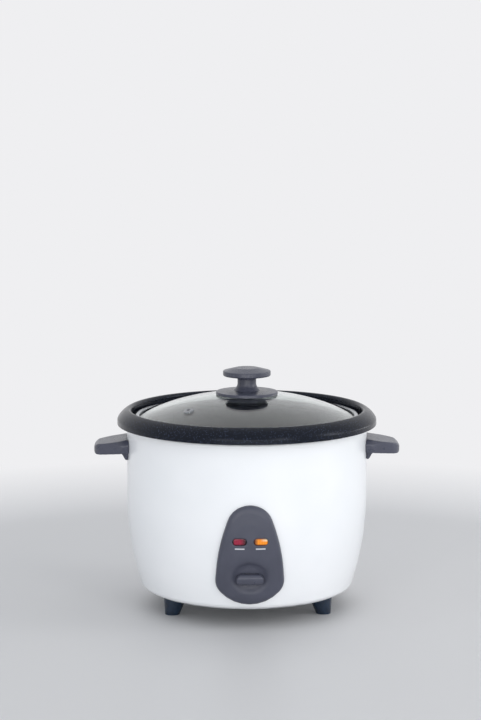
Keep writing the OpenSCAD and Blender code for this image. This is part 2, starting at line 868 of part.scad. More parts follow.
module panel_nuts() color(steel) {
    for (z = peg_levels) {
        back = sqrt((body_at(z - nut_r) - body_wall) ^ 2 - nut_r ^ 2);
        along(-back, -back + 1) translate([0, z]) difference() {
            circle(r = nut_r);
            circle(r = peg_r);
        }
    }
}

// The pocket behind the lamps, and the opening in the body that it covers
lamp_room_w = lamp_pitch + lamp_w + 4;
lamp_room_h = lamp_h + 5;
lamp_wall = 3.2;    // depth of the pocket's front below the face, half way between the lamps
module lamp_chamber() {
    along(-body_at(lamp_z) - panel_t + lamp_wall, 0) translate([0, lamp_z])
        square([lamp_room_w, lamp_room_h], center = true);
}
module lamp_window() {
    along(-deep, -liner_r) translate([0, lamp_z])
        square([lamp_room_w - 4, lamp_room_h - 4], center = true);
}

lens_inset = 1.9;   // the same for the front of a lens, which so stays behind the curved face
lens_wall = 1;
lens_foot_t = 1.2;
lens_front = body_at(lamp_z) + panel_t - lens_inset;

// A lens fills its window and has a wider foot that stops it from behind
module lens(side) {
    at = [side * lamp_pitch / 2, lamp_z];
    foot_front = body_at(lamp_z) + panel_t - lamp_wall;
    difference() {
        union() {
            along(-lens_front, -foot_front) translate(at)
                pill(lamp_w - 2 * seat_gap, lamp_h - 2 * seat_gap, (lamp_h - 2 * seat_gap) * 0.46);
            along(-foot_front, -foot_front + lens_foot_t) translate(at)
                square([lamp_w + 2, lamp_h + 2], center = true);
        }
        along(-lens_front + lens_wall, 0) translate(at) pill(lamp_w - 3, lamp_h - 3, (lamp_h - 3) * 0.46);
    }
}

module cook_lens() color("#b3193a") lens(-1);
module warm_lens() color("#ff9a1c") lens(1);

holder_front = body_at(lamp_z) + panel_t - lamp_wall - lens_foot_t - seat_gap;
holder_back = liner_r + 1.5;

// The holder reaches from behind the lenses, through the window, into the body
module lamp_holder() color("#e8e4d8") difference() {
    along(-holder_front, -holder_back) translate([0, lamp_z])
        square([lamp_room_w - 4.4, lamp_room_h - 4.4], center = true);
    for (side = [-1, 1]) {
        along(-deep, -holder_back - 2) translate([side * lamp_pitch / 2, lamp_z])
            square([lamp_w - 3, lamp_h - 2], center = true);
    }
}

module lamp_tubes() color("#e9d2c0") {
    for (side = [-1, 1]) {
        translate([side * lamp_pitch / 2, -holder_back - 2 - 1.8, lamp_z]) rotate([0, 90, 0])
            cylinder(h = lamp_w - 5, r = 1.8, center = true);
    }
}

// ---- handles ----

handle_z = top_z - handle_drop;
handle_low_z = handle_z - handle_t;
handle_x = body_r + handle_reach;
shoulder = 4.5;      // depth of the rounded shoulder along the grip's sides
grip_fall = 9;       // slope of the grip's top
grip_taper = 11;     // how much each side of the grip comes in at its tip
grip_sag = 2.7;      // how far the grip's underside falls towards its tip
flange_edge = 1.2;   // how far the web's lower edge stands off the body
flange_x = body_r + 4;
root_x = body_r - 20;
handle_screw_r = 1.6;
handle_screw_z = handle_z - handle_t / 2;

// Height of the grip's top, which falls towards its tip
function grip_top(x) = handle_z - (x - body_r) * tan(grip_fall);

// The grip is cut from three profiles: from above, from the front and from its end
module grip() {
    intersection() {
        translate([0, 0, handle_low_z - grip_sag]) linear_extrude(handle_t + grip_sag) polygon(rounded([
            [root_x, -handle_w / 2, 0],
            [flange_x, -handle_w / 2, 30],
            [handle_x, -handle_w / 2 + grip_taper, 15],
            [handle_x, handle_w / 2 - grip_taper, 15],
            [flange_x, handle_w / 2, 30],
            [root_x, handle_w / 2, 0]
        ]));
        along(-handle_w, handle_w) polygon(rounded([
            [root_x, handle_low_z, 0],
            [flange_x, handle_low_z, 0],
            [handle_x, handle_low_z - grip_sag, 3],
            [handle_x, grip_top(handle_x) - 2.5, 2],
            [handle_x - 4, grip_top(handle_x - 4), 3],
            [root_x, grip_top(root_x), 0]
        ]));
        translate([body_r, 0, handle_z]) rotate([0, grip_fall, 0]) across(4 * handle_reach)
            polygon(rounded([
                [-handle_w / 2 + 4, -2 * handle_t, 0],
                [handle_w / 2 - 4, -2 * handle_t, 0],
                [handle_w / 2, -shoulder, 2.5],
                [handle_w / 2 - 5, 0, 2.5],
                [-handle_w / 2 + 5, 0, 2.5],
                [-handle_w / 2, -shoulder, 2.5]
            ]));
    }
}

// The flange behind the grip, with the web under it that thins towards its lower edge
module handle_flange() {
    intersection() {
        along(-flange_w / 2, flange_w / 2) polygon(rounded([
            [root_x, handle_z - flange_h, 0],
            [body_r + flange_edge, handle_z - flange_h, 0.6],
            [flange_x + 1, handle_low_z, 5],
            [flange_x + 12, handle_low_z, 0],
            [flange_x + 12, handle_low_z + 3, 0],
            [flange_x, handle_z - 1, 0],
            [root_x, handle_z - 1, 0]
        ]));
        translate([body_r, 0, 0]) across(4 * handle_reach)
            polygon(rounded([
                [-flange_w / 2, handle_z - flange_h, 6],
                [flange_w / 2, handle_z - flange_h, 6],
                [flange_w / 2, handle_z, 0],
                [-flange_w / 2, handle_z, 0]
            ]));
    }
}

module handle() color(slate) difference() {
    union() {
        grip();
        handle_flange();
    }
    drum();
    handle_screws_at() cylinder(h = handle_screw_l, r = handle_screw_r);
}

handle_screw_l = 16;
screw_head_r = 3;
handle_screw_seat = sqrt((body_r - body_wall) ^ 2 - (handle_screw_pitch / 2 + screw_head_r) ^ 2);

module handle_screws_at() {
    for (side = [-1, 1]) {
        translate([handle_screw_seat, side * handle_screw_pitch / 2, handle_screw_z])
            rotate([0, 90, 0]) children();
    }
}

module handle_right() handle();
module handle_left() rotate(180) handle();

module handle_screws() color(steel) {
    for (turn = [0, 180]) {
        rotate(turn) handle_screws_at() screw(handle_screw_r, handle_screw_l, screw_head_r, 2);
    }
}

module handle_screw_holes() {
    for (turn = [0, 180]) {
        rotate(turn) handle_screws_at() cylinder(h = 20, r = handle_screw_r);
    }
}

// ---- power inlet ----

inlet_z = shell_z + inlet_rise;
inlet_face = body_at(inlet_z) + 1.5;
inlet_out_w = inlet_w + 2 * inlet_wall;
inlet_out_h = inlet_h + 2 * inlet_wall;
bezel_w = 4;
inlet_back = 3;

module inlet_hole() {
    along(foot_flange_in_r, deep) translate([0, inlet_z])
        square([inlet_out_w + 2 * seat_gap, inlet_out_h + 2 * seat_gap], center = true);
}

// Opening of the inlet: a rectangle with its two upper corners cut off
module inlet_mouth() {
    cut = 5;
    polygon([
        [-inlet_w / 2, -inlet_h / 2], [inlet_w / 2, -inlet_h / 2],
        [inlet_w / 2, inlet_h / 2 - cut], [inlet_w / 2 - cut, inlet_h / 2],
        [-inlet_w / 2 + cut, inlet_h / 2], [-inlet_w / 2, inlet_h / 2 - cut]
    ]);
}

module power_inlet() color("#1d1f22") difference() {
    union() {
        along(inlet_face - inlet_d - inlet_back, inlet_face) translate([0, inlet_z])
            square([inlet_out_w, inlet_out_h], center = true);
        difference() {
            along(inlet_face - 8, inlet_face) translate([0, inlet_z])
                pill(inlet_out_w + 2 * bezel_w, inlet_out_h + bezel_w, 3);
            drum();
        }
    }
    along(inlet_face - inlet_d, deep) translate([0, inlet_z]) inlet_mouth();
    inlet_pins_at() square([2, 4], center = true);
}

pin_l = 14;
tab_l = 6;

// The three contacts: two below and one in the middle above them
module inlet_pins_at() {
    for (at = [[-7, -2], [0, 2], [7, -2]]) {
        along(tab_y, inlet_face - inlet_d + pin_l)
            translate([at[0], inlet_z + at[1]]) children();
    }
}

module inlet_pins() color("#c8b27a") inlet_pins_at() square([2, 4], center = true);

// ---- leads ----

lead_r = 1.5;
thin_lead_r = 1;
sleeve_r = 3.5;
sleeve_l = 9;
tab_sleeve_r = 2.8;
tab_sleeve_l = 7;

// A point in the bay: shares of the body's radius, and of the bay's height above its floor
function bay_at(x, y, level) = [x * body_r, y * body_r, shell_z + level * bay_h];

// Where a lead meets an inlet contact, an element end, a thermostat tab and the switch
function tab_end(x, rise) = [x, tab_y, inlet_z + rise];
function element_end(side) = [
    element_ring_r * cos(90 + side * element_gap_turn),
    element_ring_r * sin(90 + side * element_gap_turn),
    plate_z + plate_t / 2 - element_pin_h - sleeve_l - 0.5
];
function thermostat_end(side) = [
    (thermostat_reach + side * 4) * cos(thermostat_turn),
    (thermostat_reach + side * 4) * sin(thermostat_turn),
    plate_z - thermostat_h - sleeve_l - 0.5
];
function switch_end(x, rise) = [x, switch_near + switch_l, switch_z + rise];
down = [0, 0, -5];
out = [0, -4, 0];
tab_y = inlet_face - inlet_d - inlet_back - tab_l;

// An insulated sleeve over an inlet contact
module tab_sleeve(at) {
    translate(at - [0, 2, 0]) rotate([-90, 0, 0]) cylinder(h = tab_sleeve_l, r = tab_sleeve_r);
}

// Insulated sleeves over the two element ends
module element_sleeves() {
    for (side = [-1, 1]) {
        translate(element_end(side)) cylinder(h = sleeve_l, r = sleeve_r);
    }
}

// Live and neutral: inlet to switch, switch to element, element to inlet, and the thermostat's two
module supply_leads() color("#d8d3c4") difference() {
    live = tab_end(-7, -2);
    neutral = tab_end(7, -2);
    union() {
        element_sleeves();
        for (side = [-1, 1]) {
            translate(thermostat_end(side)) cylinder(h = sleeve_l, r = sleeve_r);
            tab_sleeve(tab_end(side * 7, -2));
        }
        wire([live, live + out, bay_at(-0.18, 0.6, 0.35), bay_at(-0.27, 0.44, 0.3),
            bay_at(-0.28, 0.16, 0.3), bay_at(-0.21, -0.06, 0.38), bay_at(-0.1, -0.16, 0.5),
            switch_end(-1.5, 7) + [0, 3, 0], switch_end(-1.5, 7)], lead_r);
        wire([[-switch_w / 2, switch_near + 11, switch_z + 8],
            [-switch_w / 2 - 3, switch_near + 11, switch_z + 8],
            bay_at(-0.19, -0.22, 0.69), bay_at(-0.26, -0.06, 0.72), bay_at(-0.27, 0.12, 0.69),
            bay_at(-0.24, 0.26, 0.52), element_end(1) + down, element_end(1) + [0, 0, 1]], lead_r);
        wire([neutral, neutral + out, bay_at(0.17, 0.61, 0.35), bay_at(0.22, 0.5, 0.32),
            bay_at(0.215, 0.4, 0.32), element_end(-1) + down / 2, element_end(-1) + [0, 0, 1]], lead_r);
        wire([thermostat_end(-1) + [0, 0, 1], thermostat_end(-1) + down / 2, bay_at(0.19, 0.18, 0.42),
            bay_at(0.06, 0.27, 0.38), bay_at(-0.08, 0.33, 0.38), element_end(1) + [5, 0, -3],
            element_end(1) + [1, 0, 2]], lead_r);
        wire([thermostat_end(1) + [0, 0, 1], thermostat_end(1) + down / 2, bay_at(0.29, -0.03, 0.42),
            bay_at(0.21, -0.12, 0.42), bay_at(0.1, -0.15, 0.44), switch_end(1.4, 3.4) + [0, 3, 0],
            switch_end(1.4, 3.4)], lead_r);
    }
    heating_element();
    warm_thermostat();
    inlet_pins();
    micro_switch();
}

// Clearance between a lead and what it passes
lead_gap = 0.9;

// A lead's point beside the arm, which comes closer in where the body's wall does
function lead_at(x, out, z) =
    [x, -min(out, body_at(z) - body_wall - thin_lead_r - lead_gap), z];

// The two thin leads of the lamps run down between the liner and the body
module lamp_leads() color("#c9553a") difference() {
    lamp_low_z = lamp_z - (lamp_room_h - 4.4) / 2;
    for (side = [-1, 1]) {
        beside_arm = [
            lead_at(side * 10, holder_back + 3, lamp_low_z),
            lead_at(side * 10, holder_back + 3, lamp_low_z - 6),
            lead_at(side * 11, holder_back + 1.2, lamp_low_z - 16),
            lead_at(side * 12, liner_r - 1.2, liner_z + 8.5),
            [side * 14, 10 - liner_r, liner_z - 3.5],
            bay_at(side * 0.15, -0.76, 0.6),
            bay_at(side * 0.17, -0.58, 0.5)
        ];
        to_switch = [
            bay_at(-0.15, -0.42, 0.47),
            bay_at(-0.08, -0.36, 0.53),
            [-switch_w / 2, switch_near + 5, switch_z + 6]
        ];
        to_element = [
            bay_at(0.26, -0.38, 0.44),
            bay_at(0.35, -0.16, 0.41),
            bay_at(0.37, 0.08, 0.41),
            bay_at(0.32, 0.28, 0.41),
            element_end(-1) + [sleeve_r + 1, 1, 0],
            element_end(-1) + [sleeve_r, 0, 2]
        ];
        wire(concat(beside_arm, side < 0 ? to_switch : to_element), thin_lead_r);
    }
    lamp_holder();
    micro_switch();
    element_sleeves();
}

ring_terminal_r = 4;

// The earth lead goes from the middle contact down to a ring terminal on the base plate
module earth_lead() color("#7fae4a") difference() {
    earth = tab_end(0, 2);
    behind_post = post_ring_r + post_r + ring_terminal_r + lead_gap;
    terminal = [0, max(tab_y - 13.2, behind_post), shell_z];
    union() {
        tab_sleeve(earth);
        wire([earth, earth + out, terminal + [0, 2.5, 0.36 * bay_h], terminal + [0, 0, 0.15 * bay_h],
            terminal + [0, 0, 0.8]], lead_r);
        translate(terminal) cylinder(h = 1, r = ring_terminal_r);
    }
    inlet_pins();
}

// ---- pot ----

rim_wall_r = rim_in_r + pot_wall / 2;
crest_bend_r = 2.6;
lip_bend_r = 4;
crest_turn = 65;
lip_turn = 30;
flank_r = (rim_r - pot_wall / 2 - lip_bend_r * (1 - cos(lip_turn)) - rim_wall_r
    - crest_bend_r * (1 + cos(crest_turn))) / (cos(lip_turn) - cos(crest_turn));
crest_middle = [rim_wall_r + crest_bend_r, crest_z - pot_wall / 2 - crest_bend_r];
flank_middle = crest_middle + (crest_bend_r - flank_r) * [cos(crest_turn), sin(crest_turn)];
lip_middle = flank_middle + (flank_r - lip_bend_r) * [cos(lip_turn), sin(lip_turn)];

// Deep-drawn pot: bottom, wall, step for the lid, and the wide rim that slopes outward
module inner_pot() color(coal) rotate_extrude() sheet(concat(
    rounded([
        [0, seat_z + pot_wall / 2, 0],
        [pot_r + pot_wall / 2, seat_z + pot_wall / 2, pot_bend_r - pot_wall / 2],
        [pot_r + pot_wall / 2, step_z - pot_wall / 2, 2.5],
        [rim_wall_r, step_z - pot_wall / 2, 1.8],
        [rim_wall_r, crest_middle[1], 0]
    ], closed = false, steps = 8),
    arc(crest_middle, crest_bend_r, 170, crest_turn, 7),
    arc(flank_middle, flank_r, crest_turn - 4, lip_turn + 4, 8),
    arc(lip_middle, lip_bend_r, lip_turn, 0, 4),
    [[rim_r - pot_wall / 2, lip_z]]
), pot_wall);

// ---- lid ----

band_t = 0.5;
glass_r = lid_r - 1.4;
dome_z = step_z + band_t - sqrt((dome_r - glass_t) ^ 2 - glass_r ^ 2);
dome_top_z = dome_z + dome_r;

// Height of the glass dome's outer face at a distance from the axis
function dome_at(r) = dome_z + sqrt(dome_r ^ 2 - r ^ 2);

module glass_outline() {
    intersection() {
        difference() {
            translate([0, dome_z]) circle(r = dome_r, $fn = 256);
            translate([0, dome_z]) circle(r = dome_r - glass_t, $fn = 256);
        }
        translate([0, step_z]) square([glass_r, 2 * knob_flange_r]);
    }
}

module lid_glass() color("#cfe0e4") difference() {
    rotate_extrude() glass_outline();
    translate([0, 0, dome_top_z - glass_t - past]) cylinder(h = glass_t + 2 * past, r = knob_screw_r + 1);
    at_vent() cylinder(h = 3 * glass_t, r = vent_stem_r, center = true);
}

module lid_band() color(steel) rotate_extrude() difference() {
    polygon(rounded([
        [glass_r - 1.6, step_z, 0],
        [lid_r, step_z, 0.6],
        [lid_r, dome_at(glass_r) + 2.6, 1.5],
        [lid_r - band_w, dome_at(lid_r - band_w) + band_t, 0],
        [lid_r - band_w, dome_at(lid_r - band_w) - 1, 0],
        [glass_r - 1.6, step_z + 1, 0]
    ], steps = 4));
    glass_outline();
}

vent_stem_r = 3.2;
vent_rim_r = 5.5;
module at_vent() {
    rotate(vent_turn) translate([0, 0, dome_z]) rotate([0, asin(vent_reach / dome_r), 0])
        translate([0, 0, dome_r]) children();
}

// A pressed eyelet with its bore, clenched below the glass
module steam_vent() color(steel) at_vent() rotate_extrude() polygon([
    [1.6, 1.2], [vent_rim_r - 1.2, 1.2], [vent_rim_r, 0.1], [vent_stem_r, 0.1],
    [vent_stem_r, -glass_t - 0.1], [vent_rim_r - 1, -glass_t - 0.1], [vent_rim_r - 1.5, -glass_t - 1],
    [1.6, -glass_t - 1]
]);

knob_screw_r = 2;
knob_low_z = dome_at(knob_flange_r) - past;
knob_rest = 0.5;

// Turned knob: a wide flange over the glass, a waist and a domed grip
module lid_knob() color(slate) difference() {
    rotate_extrude() polygon(concat(
        [[0, knob_low_z]],
        rounded([
            [knob_flange_r, knob_low_z, 0],
            [knob_flange_r, dome_at(knob_flange_r) + 3.3, 0.8],
            [neck_r + 4, dome_top_z + 2.4, 2],
            [neck_r, dome_top_z + 7.5, 7],
            [neck_r, dome_top_z + knob_h - 9.5, 3],
            [knob_r, dome_top_z + knob_h - 8.2, 1.4],
            [knob_r, dome_top_z + knob_h - 3.2, 1],
            [knob_r * 0.5, dome_top_z + knob_h, 24]
        ], closed = false, steps = 5),
        [[0, dome_top_z + knob_h]]
    ));
    translate([0, 0, dome_z]) sphere(r = dome_r + knob_rest, $fn = 256);
    translate([0, 0, dome_top_z - past]) cylinder(h = knob_screw_l + past, r = knob_screw_r);
}

knob_screw_l = 14;
gasket_r = 11;

// The soft ring that the knob clamps against the glass
module knob_gasket() color("#3b3b42") difference() {
    intersection() {
        translate([0, 0, dome_top_z - 2]) cylinder(h = 4, r = gasket_r);
        translate([0, 0, dome_z]) sphere(r = dome_r + knob_rest, $fn = 256);
    }
    translate([0, 0, dome_z]) sphere(r = dome_r, $fn = 256);
    translate([0, 0, dome_top_z - 5]) cylinder(h = 10, r = knob_screw_r + 1);
}

// The knob's screw and washer, under the glass
module knob_screw() color(steel) {
    low_z = dome_z + sqrt((dome_r - glass_t) ^ 2 - 49);
    translate([0, 0, low_z - 1.2]) {
        difference() {
            cylinder(h = 1.2, r = 7);
            translate([0, 0, -past]) cylinder(h = 4, r = knob_screw_r);
        }
        screw(knob_screw_r, dome_top_z + knob_screw_l - low_z, 4, 2.4);
    }
}

body_shell();
base_plate();
inner_liner();
heating_plate();
heating_element();
support_posts();
frame_screws();
base_screws();
foot_left();
foot_right();
foot_rear();
foot_screws();
handle_left();
handle_right();
handle_screws();
front_panel();
panel_nuts();
cook_lens();
warm_lens();
lamp_holder();
lamp_tubes();
power_inlet();
inlet_pins();
lever_bracket();
pivot_pin();
micro_switch();
switch_strap();
sensor_bracket();
warm_thermostat();
lever_arm();
cook_lever();
magnet();
plunger();
magnet_spring();
sensor_cap();
sensor_ferrite();
sensor_spring();
supply_leads();
lamp_leads();
earth_lead();
inner_pot();
lid_glass();
lid_band();
steam_vent();
lid_knob();
knob_gasket();
knob_screw();
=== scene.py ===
"""Electric rice cooker: the finish of every piece, and the moulded pieces that the plain solids stand in for.

All lengths are in metres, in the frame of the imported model: the floor is z = 0, the drum's axis is the
z axis and the front faces -y.
"""
import json
import math

import bmesh
import bpy
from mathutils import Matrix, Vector

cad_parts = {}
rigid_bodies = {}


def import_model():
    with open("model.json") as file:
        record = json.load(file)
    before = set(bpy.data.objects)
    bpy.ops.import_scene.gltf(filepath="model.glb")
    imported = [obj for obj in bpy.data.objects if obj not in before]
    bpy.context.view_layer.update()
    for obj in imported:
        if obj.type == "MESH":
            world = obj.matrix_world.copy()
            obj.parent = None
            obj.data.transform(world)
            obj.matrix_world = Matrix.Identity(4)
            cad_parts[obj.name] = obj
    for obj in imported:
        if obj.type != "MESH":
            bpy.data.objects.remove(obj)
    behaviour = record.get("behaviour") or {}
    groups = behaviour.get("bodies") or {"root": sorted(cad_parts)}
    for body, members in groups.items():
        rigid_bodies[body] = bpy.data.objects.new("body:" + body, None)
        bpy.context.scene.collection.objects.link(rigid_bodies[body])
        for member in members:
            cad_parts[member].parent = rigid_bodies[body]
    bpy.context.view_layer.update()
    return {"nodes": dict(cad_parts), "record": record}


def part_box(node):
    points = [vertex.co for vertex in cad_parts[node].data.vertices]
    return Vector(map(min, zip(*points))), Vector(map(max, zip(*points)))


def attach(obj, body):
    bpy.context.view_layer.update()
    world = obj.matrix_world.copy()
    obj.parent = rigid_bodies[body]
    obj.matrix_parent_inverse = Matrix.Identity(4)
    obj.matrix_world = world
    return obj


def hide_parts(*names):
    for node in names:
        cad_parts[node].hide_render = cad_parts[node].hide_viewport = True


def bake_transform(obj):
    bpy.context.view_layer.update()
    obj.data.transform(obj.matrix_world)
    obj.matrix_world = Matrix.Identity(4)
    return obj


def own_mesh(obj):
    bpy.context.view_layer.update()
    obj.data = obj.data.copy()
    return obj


MM = 0.001

for left_over in list(bpy.data.objects):
    bpy.data.objects.remove(left_over)

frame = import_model()


# ---- sizes that the pieces share ----

def middle(node):
    """The middle of a CAD node's box."""
    low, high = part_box(node)
    return (low + high) / 2


BODY_TOP_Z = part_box("body_shell")[1].z
RECESS_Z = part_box("cook_lever")[1].z - 2.8 * MM      # middle of the finger recess, under the lever's top
RECESS_HALF_W, RECESS_HALF_H = 18.3 * MM, 15.8 * MM  # its oval edge
MARK_W, MARK_H = 9.5 * MM, 1.3 * MM                  # a printed bar under a lamp
MARK_DROP = 6.9 * MM                                 # from the lamp's middle down to the bar's


def piece_from(bm, name):
    """A smooth-shaded mesh object from a bmesh."""
    mesh = bpy.data.meshes.new(name)
    bm.to_mesh(mesh)
    bm.free()
    for face in mesh.polygons:
        face.use_smooth = True
    obj = bpy.data.objects.new(name, mesh)
    bpy.context.scene.collection.objects.link(obj)
    return obj


# ---- node helpers ----

def linear(hex_colour):
    """Linear RGBA of an sRGB hex colour."""
    shares = [int(hex_colour[i:i + 2], 16) / 255 for i in (1, 3, 5)]
    return [s / 12.92 if s <= 0.04045 else ((s + 0.055) / 1.055) ** 2.4 for s in shares] + [1.0]


def per(size_mm):
    """Texture scale at which one cell measures that many millimetres."""
    return 1000 / size_mm


def add(tree, kind, links=None, inputs=None, **settings):
    """Adds a node with its settings, its input values and the sockets that feed it."""
    made = tree.nodes.new("ShaderNode" + kind)
    for name, value in settings.items():
        setattr(made, name, value)
    for name, value in (inputs or {}).items():
        made.inputs[name].default_value = value
    for name, socket in (links or {}).items():
        tree.links.new(socket, made.inputs[name])
    return made


def new_material(name, **values):
    """A material with one Principled shader, whose plain values are set by socket name."""
    made = bpy.data.materials.new(name)
    made.use_nodes = True
    tree = made.node_tree
    tree.nodes.clear()
    shader = add(tree, "BsdfPrincipled", inputs=values)
    add(tree, "OutputMaterial", links={"Surface": shader.outputs["BSDF"]})
    return made, tree, shader


def place(tree):
    """Object coordinates, in metres."""
    return add(tree, "TexCoord").outputs["Object"]


def round_axis(tree):
    """Object coordinates as distance from the vertical axis and height, so that a pattern runs in rings."""
    at = add(tree, "SeparateXYZ", links={"Vector": place(tree)})
    flat = add(tree, "CombineXYZ", links={"X": at.outputs["X"], "Y": at.outputs["Y"]})
    reach = add(tree, "VectorMath", links={0: flat.outputs["Vector"]}, operation="LENGTH")
    ring = add(tree, "CombineXYZ", links={"X": reach.outputs["Value"], "Z": at.outputs["Z"]})
    return ring.outputs["Vector"]


def noise(tree, where, size_mm, detail=2.0):
    """A soft cloud pattern whose cells measure that many millimetres."""
    return add(tree, "TexNoise", links={"Vector": where},
               inputs={"Scale": per(size_mm), "Detail": detail}).outputs["Fac"]


def ramp(tree, factor, stops):
    """Colours along a factor: stops are (place, hex colour)."""
    made = add(tree, "ValToRGB", links={"Fac": factor})
    spots = made.color_ramp.elements
    while len(spots) < len(stops):
        spots.new(0.5)
    for spot, (at, colour) in zip(spots, stops):
        spot.position = at
        spot.color = linear(colour)
    return made.outputs["Color"]


def span(tree, factor, low, high, start=0.3, end=0.7):
    """A factor mapped from start..end to low..high."""
    return add(tree, "MapRange", links={"Value": factor},
               inputs={"From Min": start, "From Max": end, "To Min": low, "To Max": high}).outputs["Result"]


def relief(tree, shader, height, depth_mm, strength=1.0):
    """Bump of that real depth from a height between 0 and 1."""
    bump = add(tree, "Bump", links={"Height": height},
               inputs={"Distance": depth_mm * MM, "Strength": strength})
    tree.links.new(bump.outputs["Normal"], shader.inputs["Normal"])


def feed(tree, shader, **sockets):
    """Links sockets to the shader's inputs, whose names are written with underscores."""
    for name, socket in sockets.items():
        tree.links.new(socket, shader.inputs[name.replace("_", " ")])


# ---- materials ----

def baked_enamel():
    """White paint, sprayed and baked on drawn steel: a clear gloss over a faint orange-peel."""
    made, tree, shader = new_material("baked_white_enamel", **{
        "IOR": 1.5, "Coat Weight": 0.35, "Coat Roughness": 0.05})
    at = place(tree)
    peel = noise(tree, at, 6, 0)              # drawn at 6 mm, coarser than real, so that it shows
    feed(tree, shader,
         Base_Color=ramp(tree, noise(tree, at, 70), [(0.3, "#F0F2F4"), (0.7, "#F5F6F8")]),
         Roughness=span(tree, noise(tree, at, 18), 0.3, 0.36))
    relief(tree, shader, peel, 0.003)
    return made


def moulded_abs(name, low, high, marks=()):
    """Slate-grey ABS: a gloss or a satin, as the mould was polished or etched, over a fine even grain.

    Marks are small pale bars, printed on the front with a soft pad: (x, z, width, height) in metres.
    The plastic's index is set a little under that of plain ABS, for the weak sheen of a grained face.
    """
    made, tree, shader = new_material(name, **{"IOR": 1.46})
    blur = 0.15 * MM                          # soft edge of the print
    at = place(tree)
    grain = noise(tree, at, 1.2)              # usual grain is 0.3 mm, drawn at 1.2 mm so that it shows
    colour = ramp(tree, noise(tree, at, 22, 4.0), [(0.3, "#464855"), (0.7, "#4C4E5C")])
    spot = add(tree, "SeparateXYZ", links={"Vector": at})
    for x, z, width, height in marks:
        ink = None
        for axis, middle_at, size in (("X", x, width), ("Z", z, height)):
            off = add(tree, "Math", links={0: spot.outputs[axis]}, inputs={1: middle_at},
                      operation="SUBTRACT")
            off = add(tree, "Math", links={0: off.outputs[0]}, operation="ABSOLUTE")
            inside = span(tree, off.outputs[0], 1, 0, size / 2 - blur, size / 2 + blur)
            ink = inside if ink is None else add(tree, "Math", links={0: ink, 1: inside},
                                                 operation="MULTIPLY").outputs[0]
        colour = add(tree, "Mix", links={"Factor": ink, "A": colour}, inputs={"B": linear("#C9CACF")},
                     data_type="RGBA").outputs["Result"]
    feed(tree, shader, Base_Color=colour, Roughness=span(tree, noise(tree, at, 6), low, high))
    relief(tree, shader, grain, 0.0015)
    return made


def nonstick_pot():
    """Drawn aluminium: a dark fluoropolymer coat with pale flecks inside and on the rim, spun metal outside.

    The coat's low index gives it a weak sheen, a little blue, and its flecks stand proud of it.
    """
    made, tree, shader = new_material("flecked_nonstick_on_aluminium", **{
        "IOR": 1.33, "Specular Tint": linear("#D3D8E6")})
    texture = add(tree, "TexCoord")
    at = texture.outputs["Object"]
    # drawn 1.7 mm apart, coarser than usual flecks, so that they show
    flecks = add(tree, "TexVoronoi", links={"Vector": at},
                 inputs={"Scale": per(1.7), "Randomness": 1.0}, feature="F1")
    fleck = span(tree, flecks.outputs["Distance"], 1, 0, 0.12, 0.3)
    coat = add(tree, "Mix", links={"Factor": fleck}, data_type="RGBA",
               inputs={"A": linear("#0E121B"), "B": linear("#3D4459")})
    rings = noise(tree, round_axis(tree), 0.8)
    bare = ramp(tree, rings, [(0.3, "#A9ABAE"), (0.7, "#C6C8CB")])
    # the outside of the bowl faces away from the axis and lies below the rim
    spot = add(tree, "SeparateXYZ", links={"Vector": at})
    low = add(tree, "Math", links={0: spot.outputs["Z"]}, inputs={1: BODY_TOP_Z}, operation="LESS_THAN")
    down = -30 * MM                           # so that the flat underside counts as outside too
    away = add(tree, "CombineXYZ", links={"X": spot.outputs["X"], "Y": spot.outputs["Y"]},
               inputs={"Z": down})
    facing = add(tree, "VectorMath", links={0: away.outputs["Vector"], 1: texture.outputs["Normal"]},
                 operation="DOT_PRODUCT")
    out = add(tree, "Math", links={0: facing.outputs["Value"]}, inputs={1: 0.0}, operation="GREATER_THAN")
    outside = add(tree, "Math", links={0: low.outputs[0], 1: out.outputs[0]},
                  operation="MULTIPLY").outputs[0]
    colour = add(tree, "Mix", links={"Factor": outside, "A": coat.outputs["Result"], "B": bare},
                 data_type="RGBA")
    rough = span(tree, noise(tree, at, 5), 0.2, 0.26)
    feed(tree, shader, Base_Color=colour.outputs["Result"], Metallic=outside, Roughness=rough)
    relief(tree, shader, fleck, 0.02, 0.5)
    return made


def toughened_glass():
    """Pressed and toughened soda-lime glass: clear, faintly green, with a pressed face's slow ripple."""
    made, tree, shader = new_material("toughened_clear_glass", **{
        "Base Color": linear("#F4FAF8"), "Transmission Weight": 1.0, "IOR": 1.5})
    at = place(tree)
    feed(tree, shader, Roughness=span(tree, noise(tree, at, 40), 0.0, 0.02))
    relief(tree, shader, noise(tree, at, 30, 0), 0.02)
    return made


def spun(name, dark, light, low, high, line_mm, depth_mm):
    """Bare metal worked in rings round the axis: lines run round it."""
    made, tree, shader = new_material(name, **{"Metallic": 1.0})
    rings = noise(tree, round_axis(tree), line_mm, 3.0)
    feed(tree, shader, Base_Color=ramp(tree, rings, [(0.3, dark), (0.7, light)]),
         Roughness=span(tree, rings, low, high))
    relief(tree, shader, rings, depth_mm)
    return made


def grained(name, dark, light, low, high, grain_mm, depth_mm, metallic=1.0, **values):
    """Metal, plastic or rubber with an even grain of that size: soft clouds of two shades, a broken gloss."""
    made, tree, shader = new_material(name, **{"Metallic": metallic, **values})
    at = place(tree)
    grain = noise(tree, at, grain_mm, 3.0)
    feed(tree, shader, Base_Color=ramp(tree, noise(tree, at, grain_mm * 6), [(0.3, dark), (0.7, light)]),
         Roughness=span(tree, grain, low, high))
    relief(tree, shader, grain, depth_mm)
    return made


